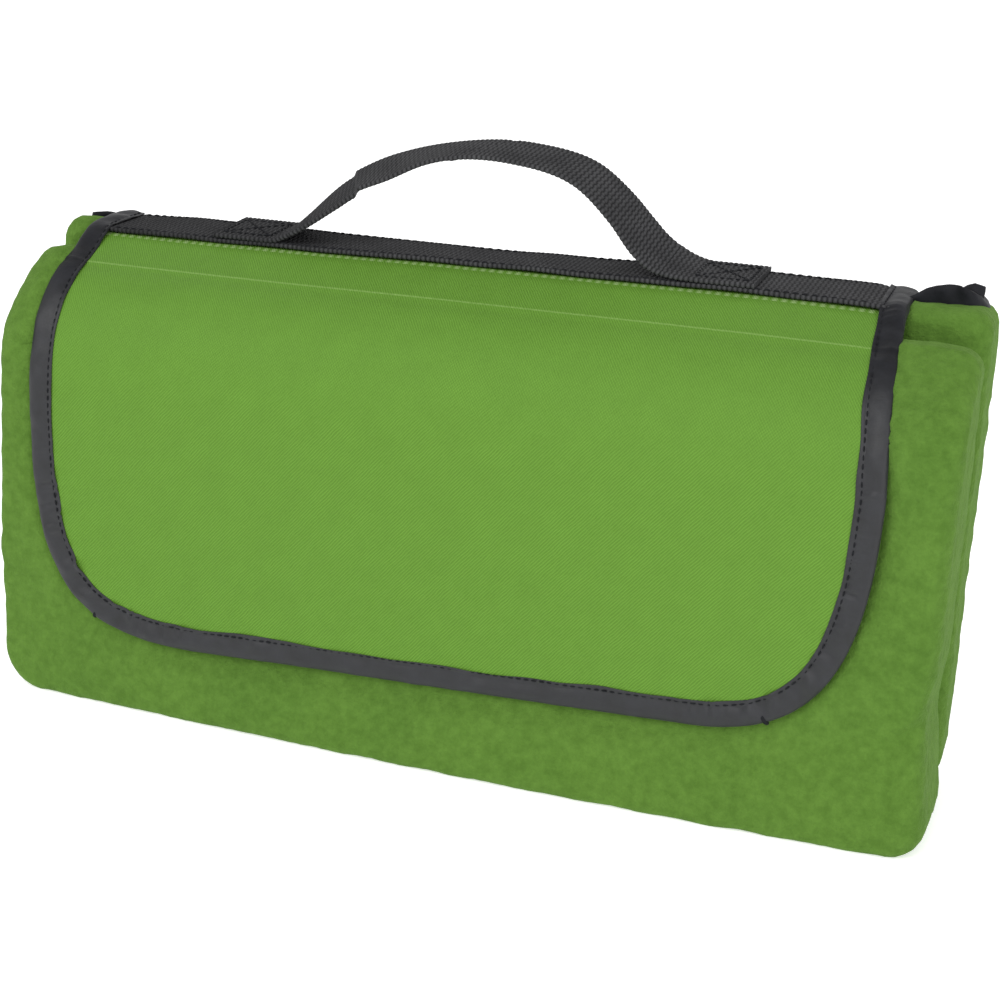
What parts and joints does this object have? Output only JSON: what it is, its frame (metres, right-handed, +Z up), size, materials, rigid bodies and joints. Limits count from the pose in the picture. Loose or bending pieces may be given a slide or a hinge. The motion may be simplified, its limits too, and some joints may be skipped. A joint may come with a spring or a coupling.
{
  "type": "folded picnic blanket",
  "caption": "Folded fleece picnic blanket with a tape-bound fabric flap that closes over the front and a webbing carry handle on the top seam.",
  "frame": {"origin": "on the floor under the bundle, mid-length, in line with the front edge of the seam webbing", "axes": "+X along the bundle to the right as the flap faces the viewer, +Y from front to back, +Z up"},
  "size_m": [0.31, 0.0716, 0.1937],
  "materials": {
    "fleece": "soft brushed fleece, matt",
    "flap_fabric": "coated woven polyester, fine diagonal weave",
    "edge_tape": "folded woven edge tape, slightly glossy",
    "webbing": "ribbed polypropylene webbing, matt",
    "backing": "thin waterproof film, glossy",
    "thread": "sewing thread",
    "touch_fastener": "hook and loop tape, matt"
  },
  "bodies": {
    "bundle": {"fleece_blanket": "fleece", "waterproof_backing": "backing", "blanket_edge_tape": "edge_tape", "loop_fastener": "touch_fastener", "flap_seam_allowance": "flap_fabric", "seam_webbing": "webbing", "seam_stitching_front": "thread", "seam_stitching_rear": "thread", "strip_end_tape_left": "edge_tape", "strip_end_tape_right": "edge_tape", "handle_end_left": "webbing", "handle_end_right": "webbing", "handle_end_stitching_left": "thread", "handle_end_stitching_right": "thread"},
    "flap_upper": {"flap_tape_upper_left": "edge_tape", "flap_tape_upper_right": "edge_tape", "flap_panel_upper": "flap_fabric"},
    "flap_lower": {"flap_panel_lower": "flap_fabric", "flap_tape_lower": "edge_tape", "flap_tape_stitching": "thread", "hook_fastener": "touch_fastener"},
    "handle": {"handle_loop": "webbing"}
  },
  "joints": [
    {"name": "flap_lift", "type": "hinge", "parent": "bundle", "child": "flap_upper", "pos_m": [0, 0, 0.1548], "axis": [-1, 0, 0], "range_deg": [0, 40]},
    {"name": "flap_crease", "type": "hinge", "parent": "flap_upper", "child": "flap_lower", "pos_m": [0, -0.01356, 0.14689], "axis": [-1, 0, 0], "range_deg": [0, 110]},
    {"name": "handle_swing", "type": "hinge", "parent": "bundle", "child": "handle", "pos_m": [-0.009, 0.01225, 0.17115], "axis": [-1, 0, 0], "range_deg": [-20, 75]}
  ]
}
